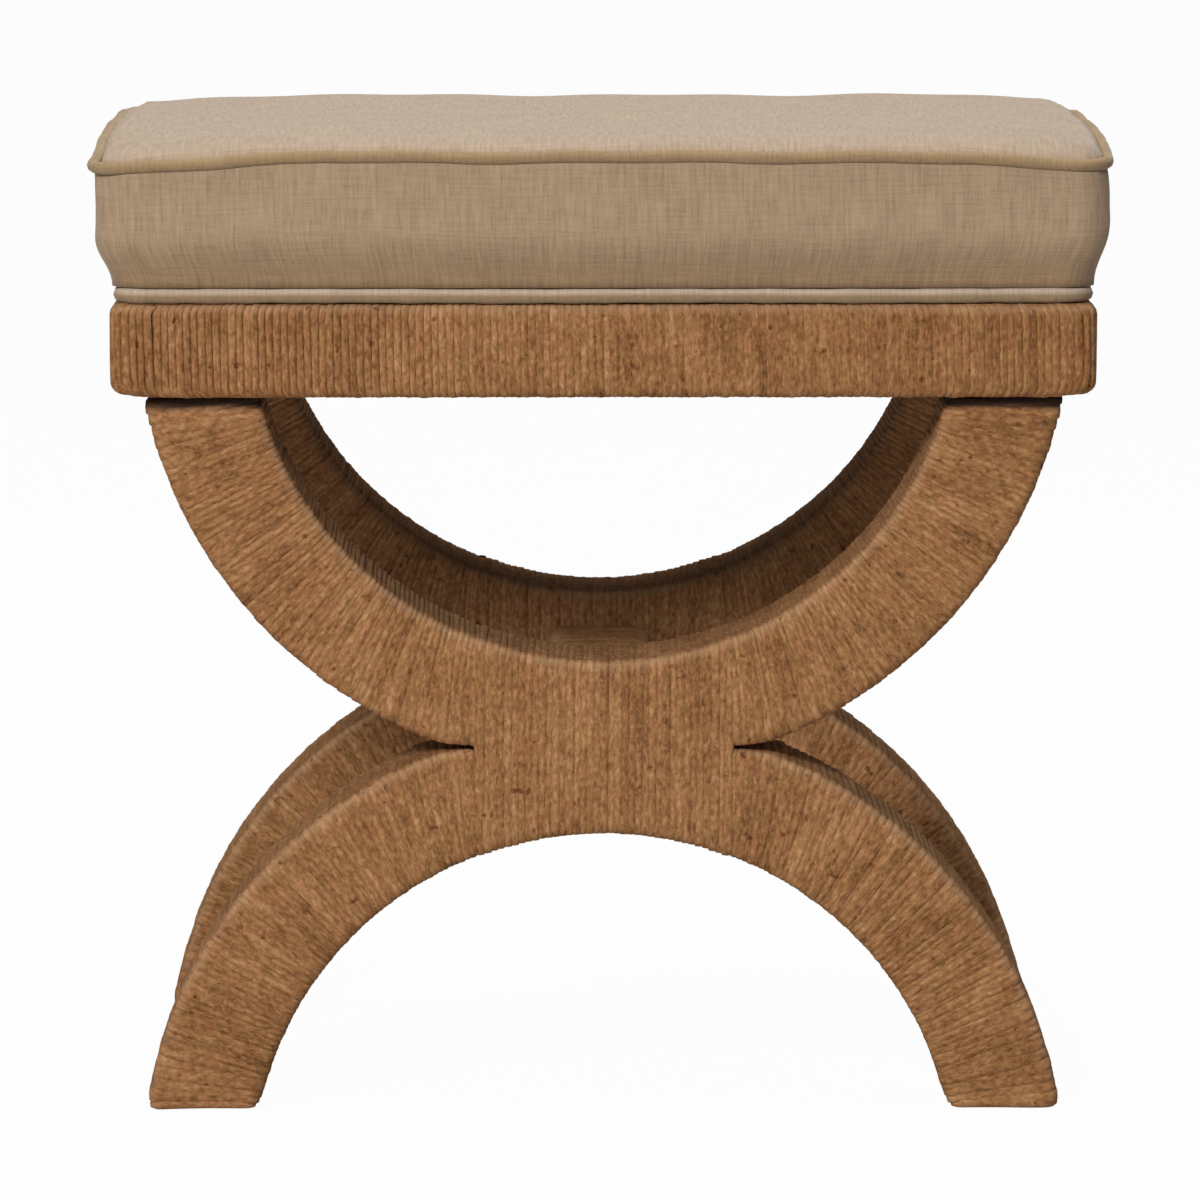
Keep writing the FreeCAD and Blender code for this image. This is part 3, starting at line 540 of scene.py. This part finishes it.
class Nodes:
    """Short way to build a node material."""

    def __init__(self, name):
        self.material = bpy.data.materials.new(name)
        self.material.use_nodes = True
        self.tree = self.material.node_tree
        self.shader = self.tree.nodes["Principled BSDF"]

    def add(self, kind, **settings):
        node = self.tree.nodes.new(kind)
        for key, value in settings.items():
            setattr(node, key, value)
        return node

    def link(self, source, target):
        self.tree.links.new(source, target)

    def put(self, socket, value):
        if isinstance(value, (int, float, tuple, list)):
            socket.default_value = value
        else:
            self.link(value, socket)

    def value(self, name, output="Fac"):
        return self.add("ShaderNodeAttribute", attribute_name=name).outputs[output]

    def place(self):
        return self.add("ShaderNodeTexCoord").outputs["Object"]

    def math(self, operation, a, b=0.0, clamp=False):
        node = self.add("ShaderNodeMath", operation=operation, use_clamp=clamp)
        self.put(node.inputs[0], a)
        self.put(node.inputs[1], b)
        return node.outputs[0]

    def noise(self, vector, scale, detail=2.0, roughness=0.5):
        node = self.add("ShaderNodeTexNoise")
        self.put(node.inputs["Vector"], vector)
        node.inputs["Scale"].default_value = scale
        node.inputs["Detail"].default_value = detail
        node.inputs["Roughness"].default_value = roughness
        return node.outputs["Fac"]

    def scaled(self, vector, scale):
        node = self.add("ShaderNodeMapping")
        self.put(node.inputs["Vector"], vector)
        node.inputs["Scale"].default_value = scale
        return node.outputs[0]

    def combine(self, x, y, z=0.0):
        node = self.add("ShaderNodeCombineXYZ")
        for socket, value in zip(node.inputs, (x, y, z)):
            self.put(socket, value)
        return node.outputs[0]

    def ramp(self, value, stops):
        node = self.add("ShaderNodeValToRGB")
        self.put(node.inputs[0], value)
        ramp = node.color_ramp
        while len(ramp.elements) < len(stops):
            ramp.elements.new(0.5)
        for element, (at, colour) in zip(ramp.elements, stops):
            element.position = at
            element.color = (*colour, 1.0)
        return node.outputs[0]

    def blend(self, share, a, b, kind="MIX"):
        node = self.add("ShaderNodeMix", data_type="RGBA", blend_type=kind)
        self.put(node.inputs[0], share)
        self.put(node.inputs[6], a)
        self.put(node.inputs[7], b)
        return node.outputs[2]

    def bump(self, height, strength, distance):
        node = self.add("ShaderNodeBump")
        node.inputs["Strength"].default_value = strength
        node.inputs["Distance"].default_value = distance
        self.put(node.inputs["Height"], height)
        self.link(node.outputs[0], self.shader.inputs["Normal"])


def jute():
    """Twisted fibre, with painted shade in the grooves between turns and a painted highlight on its
    upward-facing corners.
    """
    n = Nodes("jute")
    travelled = n.value("travelled")
    around = n.value("around")
    tone = n.value("tone")
    fleck = n.value("fleck")
    place = n.place()
    lay = n.math("ADD", n.math("MULTIPLY", travelled, 1 / 4.6), n.math("MULTIPLY", around, 2.0))
    ply = n.math("SINE", n.math("MULTIPLY", lay, 2 * math.pi))
    fibres = n.noise(n.combine(n.math("MULTIPLY", travelled, 0.24), n.math("MULTIPLY", around, 9.0),
                               n.math("MULTIPLY", tone, 3.0)), 1.0, 3.0, 0.65)
    patch = n.noise(place, 42.0, 3.0, 0.55)
    grain = n.noise(place, 560.0, 3.0, 0.7)
    specks = n.noise(place, 380.0, 2.0, 0.6)
    hue = n.noise(place, 150.0, 2.0, 0.6)
    knots = n.noise(place, 165.0, 2.0, 0.5)
    mix = n.math("ADD", n.math("MULTIPLY", tone, 0.014), n.math("MULTIPLY", fleck, 0.018))
    mix = n.math("ADD", mix, n.math("MULTIPLY", fibres, 0.55))
    mix = n.math("ADD", mix, n.math("MULTIPLY", patch, 0.18))
    mix = n.math("ADD", n.math("ADD", mix, 0.05), n.math("MULTIPLY", grain, 0.17))
    mix = n.math("ADD", mix, n.math("MULTIPLY", ply, 0.006))
    colour = n.ramp(mix, [(0.34, JUTE_DARK), (0.44, JUTE_LOW), (0.51, JUTE_MID), (0.60, JUTE_HIGH),
                          (0.72, JUTE_PALE)])
    tinted = n.ramp(hue, [(0.38, (0.97, 1.01, 0.95)), (0.52, (1.0, 1.0, 1.0)), (0.66, (1.03, 0.98, 1.0))])
    stain = n.ramp(knots, [(0.67, (1.0, 1.0, 1.0)), (0.735, (0.52, 0.40, 0.38))])
    bright = n.ramp(specks, [(0.64, (0.0, 0.0, 0.0)), (0.72, (1.0, 1.0, 1.0))])
    # Painted shade: each cord is darker away from its top, in the grooves between turns.
    off_top = n.math("ABSOLUTE", n.math("SUBTRACT", around, 0.5))
    groove = n.ramp(off_top, [(0.03, (1.0, 1.0, 1.0)), (0.105, (0.90, 0.87, 0.85))])
    colour = n.blend(1.0, colour, tinted, "MULTIPLY")
    colour = n.blend(n.math("MULTIPLY", bright, 0.24), colour, (*JUTE_PALE, 1.0))
    # Painted highlight on the cords' upward-facing corners.
    edge_highlight = n.value("edge_highlight")
    colour = n.blend(n.math("MULTIPLY", edge_highlight, 0.28), colour, JUTE_HIGHLIGHT)
    colour = n.blend(1.0, colour, groove, "MULTIPLY")
    colour = n.blend(1.0, colour, stain, "MULTIPLY")
    # Painted shade under the rail, at the top ends of the upper limbs' cords.
    rail_shade = n.value("rail_shade")
    colour = n.blend(n.math("MULTIPLY", rail_shade, 0.94), colour, RAIL_SHADE_DARK)
    n.put(n.shader.inputs["Base Color"], colour)
    n.shader.inputs["Roughness"].default_value = 0.9
    n.shader.inputs["Specular IOR Level"].default_value = 0.02
    n.shader.inputs["Sheen Weight"].default_value = 0.05
    n.shader.inputs["Sheen Roughness"].default_value = 0.4
    n.shader.inputs["Sheen Tint"].default_value = (1.0, 0.78, 0.52, 1.0)
    height = n.math("ADD", n.math("MULTIPLY", ply, 0.18), n.math("MULTIPLY", fibres, 1.0))
    n.bump(n.math("ADD", height, n.math("MULTIPLY", grain, 0.5)), 0.4, 0.0004)
    return n.material


def linen(name, tint, top_light_tint, is_pad=False):
    """Slubby plain weave, its colour times a paler tint where it faces up, a painted top light. The pad's
    boxing gets painted shade towards its foot."""
    n = Nodes(name)
    if is_pad:
        place = n.value("weave", "Vector")
    else:
        place = n.combine(n.value("travelled"),
                          n.math("MULTIPLY", n.value("around"), 19.0))
    warp = n.noise(n.scaled(place, (0.62, 0.055, 1.0)), 1.0, 3.0, 0.65)
    weft = n.noise(n.scaled(place, (0.04, 0.8, 1.0)), 1.0, 3.0, 0.62)
    fine = n.noise(n.scaled(place, (1.5, 1.1, 1.0)), 1.0, 2.0, 0.6)
    slub = n.noise(n.scaled(place, (0.5, 0.03, 1.0)), 1.0, 1.0, 0.7)
    cloud = n.noise(n.scaled(place, (0.02, 0.02, 1.0)), 1.0, 2.0, 0.5)
    mix = n.math("ADD", n.math("MULTIPLY", warp, 0.40), n.math("MULTIPLY", weft, 0.24))
    mix = n.math("ADD", mix, n.math("MULTIPLY", fine, 0.22))
    mix = n.math("ADD", mix, n.math("MULTIPLY", slub, 0.14))
    dark = (tint[0] * 0.76, tint[1] * 0.73, tint[2] * 0.69)
    pale = tuple(min(1.0, c * 1.24) for c in tint)
    colour = n.ramp(mix, [(0.37, dark), (0.50, tint), (0.63, pale)])
    shade = n.ramp(cloud, [(0.3, (0.95, 0.95, 0.95)), (0.7, (1.0, 1.0, 1.0))])
    colour = n.blend(1.0, colour, shade, "MULTIPLY")
    split = n.add("ShaderNodeSeparateXYZ")
    n.link(n.add("ShaderNodeNewGeometry").outputs["Normal"], split.inputs[0])
    # Painted top light: the colour is multiplied by a paler, cooler tint where the surface faces up.
    low, high = (0.35, 0.95) if is_pad else (0.0, 0.6)
    upward = n.ramp(split.outputs[2], [(low, UNCHANGED), (high, top_light_tint)])
    colour = n.blend(1.0, colour, upward, "MULTIPLY")
    if is_pad:
        # Painted shade: the boxing darkens towards its foot, up to 30 mm above FOOT_SHADE_Z.
        height = n.add("ShaderNodeSeparateXYZ")
        n.link(place, height.inputs[0])
        level = n.math("SUBTRACT", height.outputs[1], 1000.0 + FOOT_SHADE_Z)
        level = n.math("MULTIPLY", level, 1 / 30.0, clamp=True)
        painted_foot_shade = n.ramp(level, [(0.0, (0.58, 0.52, 0.42)), (0.14, (0.80, 0.74, 0.66)), (1.0, UNCHANGED)])
        side = n.value("boxing")
        colour = n.blend(side, colour, n.blend(1.0, colour, painted_foot_shade, "MULTIPLY"))
    n.put(n.shader.inputs["Base Color"], colour)
    n.shader.inputs["Roughness"].default_value = 0.9
    n.shader.inputs["Specular IOR Level"].default_value = 0.15
    n.shader.inputs["Sheen Weight"].default_value = 0.18
    n.shader.inputs["Sheen Roughness"].default_value = 0.45
    n.bump(mix, 0.4, 0.0006)
    return n.material


def timber(name, dark, light, axis):
    """Planed wood with its grain along one axis."""
    n = Nodes(name)
    place = n.place()
    stretch = [38.0] * 3
    stretch[axis] = 3.0
    streaks = n.noise(n.scaled(place, tuple(stretch)), 1.0, 4.0, 0.6)
    pores = n.noise(n.scaled(place, tuple(v * 7 for v in stretch)), 1.0, 2.0, 0.5)
    mix = n.math("ADD", n.math("MULTIPLY", streaks, 0.75), n.math("MULTIPLY", pores, 0.25))
    n.put(n.shader.inputs["Base Color"], n.ramp(mix, [(0.36, dark), (0.62, light)]))
    n.shader.inputs["Roughness"].default_value = 0.62
    n.bump(mix, 0.25, 0.0004)
    return n.material


def plies(name):
    """Plywood, with its layers stacked in height."""
    n = Nodes(name)
    place = n.place()
    layers = n.noise(n.scaled(place, (3.0, 3.0, 520.0)), 1.0, 1.0, 0.4)
    grain = n.noise(n.scaled(place, (4.0, 60.0, 60.0)), 1.0, 4.0, 0.6)
    mix = n.math("ADD", n.math("MULTIPLY", layers, 0.55), n.math("MULTIPLY", grain, 0.45))
    colour = n.ramp(mix, [(0.36, (0.40, 0.25, 0.13)), (0.62, (0.62, 0.44, 0.26))])
    n.put(n.shader.inputs["Base Color"], colour)
    n.shader.inputs["Roughness"].default_value = 0.7
    n.bump(mix, 0.2, 0.0003)
    return n.material


def steel():
    """Zinc-plated screws."""
    n = Nodes("screw_steel")
    place = n.place()
    haze = n.noise(place, 900.0, 2.0, 0.6)
    colour = n.ramp(haze, [(0.35, (0.42, 0.36, 0.22)), (0.65, (0.60, 0.55, 0.40))])
    n.put(n.shader.inputs["Base Color"], colour)
    n.shader.inputs["Metallic"].default_value = 1.0
    n.shader.inputs["Roughness"].default_value = 0.35
    n.bump(haze, 0.1, 0.0001)
    return n.material


def glide_plastic():
    """Dark moulded plastic of the foot glides."""
    n = Nodes("glide_plastic")
    place = n.place()
    haze = n.noise(place, 700.0, 3.0, 0.6)
    colour = n.ramp(haze, [(0.3, (0.012, 0.011, 0.010)), (0.7, (0.035, 0.032, 0.030))])
    n.put(n.shader.inputs["Base Color"], colour)
    n.shader.inputs["Roughness"].default_value = 0.7
    n.shader.inputs["Specular IOR Level"].default_value = 0.2
    n.bump(haze, 0.2, 0.0001)
    return n.material


def dust_cloth():
    """Black non-woven cloth."""
    n = Nodes("dust_cloth")
    place = n.place()
    fibres = n.noise(n.scaled(place, (420.0, 160.0, 160.0)), 1.0, 3.0, 0.7)
    colour = n.ramp(fibres, [(0.3, (0.006, 0.006, 0.006)), (0.7, (0.028, 0.027, 0.026))])
    n.put(n.shader.inputs["Base Color"], colour)
    n.shader.inputs["Roughness"].default_value = 0.95
    n.bump(fibres, 0.4, 0.0003)
    return n.material


def dress(thing, material):
    thing.data.materials.clear()
    thing.data.materials.append(material)


jute_material = jute()
for cord in cords:
    dress(cord, jute_material)
# The pad's top and the bottom piping's upper side get painted top light; on the bottom piping it is a strong
# painted highlight.
dress(pad, linen("linen", LINEN_TINT, (1.05, 1.135, 1.285), is_pad=True))
dress(top_pipe, linen("linen_piping_top", TOP_PIPING_TINT, UNCHANGED))
dress(low_pipe, linen("linen_piping_bottom", LOW_PIPING_TINT, (1.8, 2.1, 2.8)))
dress(dust, dust_cloth())

DARK_WOOD, PALE_WOOD = (0.30, 0.18, 0.09), (0.50, 0.34, 0.19)
DARK_DOWEL, PALE_DOWEL = (0.40, 0.27, 0.15), (0.62, 0.46, 0.29)
wood_x = timber("frame_wood_x", DARK_WOOD, PALE_WOOD, 0)
wood_y = timber("frame_wood_y", DARK_WOOD, PALE_WOOD, 1)
dowel_z = timber("dowel_wood_z", DARK_DOWEL, PALE_DOWEL, 2)
dowel_y = timber("dowel_wood_y", DARK_DOWEL, PALE_DOWEL, 1)
ply = plies("plywood")
metal = steel()
finishes = {
    "front_upper_arc": wood_x, "front_lower_arc": wood_x, "rear_upper_arc": wood_x, "rear_lower_arc": wood_x,
    "front_rail": wood_x, "rear_rail": wood_x, "left_rail": wood_y, "right_rail": wood_y,
    "stretcher_core": wood_y, "left_seat_cleat": wood_y, "right_seat_cleat": wood_y,
    "waist_dowels": dowel_z, "stretcher_dowels": dowel_y, "mitre_splines": ply, "seat_board": ply,
    "post_screws": metal, "cleat_screws": metal, "seat_screws": metal, "foot_glides": glide_plastic(),
}
for node, material in finishes.items():
    dress(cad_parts[node], material)


# ---- floor, light, camera
def seen_directly(tree):
    """1 for what the camera sees, also in a reflection or through glass, and 0 for light."""
    rays = tree.nodes.new("ShaderNodeLightPath")
    seen = rays.outputs["Is Camera Ray"]
    for name in ("Is Glossy Ray", "Is Transmission Ray"):
        either = tree.nodes.new("ShaderNodeMath")
        either.operation = "MAXIMUM"
        tree.links.new(seen, either.inputs[0])
        tree.links.new(rays.outputs[name], either.inputs[1])
        seen = either.outputs[0]
    return seen


def studio_floor():
    """Pale floor that looks nearly white and still takes the stool's shadow. It lies a
    little under the glides, so that the two don't show through each other."""
    mesh = bpy.data.meshes.new("studio_floor")
    reach = 14.0
    low = -0.0002
    mesh.from_pydata([(-reach, -reach, low), (reach, -reach, low), (reach, reach, low), (-reach, reach, low)],
                     [], [(0, 1, 2, 3)])
    floor = bpy.data.objects.new("studio_floor", mesh)
    bpy.context.scene.collection.objects.link(floor)
    material = bpy.data.materials.new("studio_floor")
    material.use_nodes = True
    tree = material.node_tree
    shader = tree.nodes["Principled BSDF"]
    shader.inputs["Base Color"].default_value = (0.62, 0.61, 0.60, 1)
    shader.inputs["Roughness"].default_value = 0.9
    glow = tree.nodes.new("ShaderNodeEmission")
    glow.inputs["Strength"].default_value = 1.0
    share = tree.nodes.new("ShaderNodeMath")
    share.operation = "MULTIPLY"
    share.inputs[1].default_value = 0.97
    tree.links.new(seen_directly(tree), share.inputs[0])
    mix = tree.nodes.new("ShaderNodeMixShader")
    tree.links.new(share.outputs[0], mix.inputs[0])
    tree.links.new(shader.outputs[0], mix.inputs[1])
    tree.links.new(glow.outputs[0], mix.inputs[2])
    tree.links.new(mix.outputs[0], tree.nodes["Material Output"].inputs["Surface"])
    mesh.materials.append(material)


def studio_world():
    """White where it is seen, and a weak cool fill as light."""
    world = bpy.data.worlds.new("studio")
    world.use_nodes = True
    tree = world.node_tree
    back = tree.nodes["Background"]
    back.inputs["Color"].default_value = (0.94, 0.97, 1.0, 1)
    back.inputs["Strength"].default_value = 0.13
    white = tree.nodes.new("ShaderNodeBackground")
    white.inputs["Color"].default_value = (1.0, 1.0, 1.0, 1)
    white.inputs["Strength"].default_value = 1.0
    mix = tree.nodes.new("ShaderNodeMixShader")
    tree.links.new(seen_directly(tree), mix.inputs[0])
    tree.links.new(back.outputs[0], mix.inputs[1])
    tree.links.new(white.outputs[0], mix.inputs[2])
    tree.links.new(mix.outputs[0], tree.nodes["World Output"].inputs["Surface"])
    bpy.context.scene.world = world


def area_light(name, place, target, size, watts, colour):
    lamp = bpy.data.lights.new(name, "AREA")
    lamp.shape = "RECTANGLE"
    lamp.size, lamp.size_y = size
    lamp.energy = watts
    lamp.color = colour
    thing = bpy.data.objects.new(name, lamp)
    thing.location = place
    thing.rotation_euler = (Vector(target) - Vector(place)).to_track_quat("-Z", "Y").to_euler()
    bpy.context.scene.collection.objects.link(thing)


studio_floor()
studio_world()
area_light("key", (-1.5, -3.6, 2.55), (0, 0, 0.25), (1.3, 1.1), 156.0, (1.0, 0.96, 0.90))
area_light("top", (0.1, 0.1, 2.4), (0, 0, 0.4), (1.6, 1.4), 37.0, (1.0, 0.98, 0.94))

lens = bpy.data.cameras.new("camera")
lens.lens = 218.2
lens.sensor_width = 36.0
lens.clip_end = 50.0
camera = bpy.data.objects.new("camera", lens)
camera.location = (-0.02815, -3.687, 0.7415)
camera.rotation_euler = (math.pi / 2 - 0.1370, 0.0, -0.0075)
bpy.context.scene.collection.objects.link(camera)
bpy.context.scene.camera = camera
bpy.context.scene.view_settings.view_transform = "Standard"
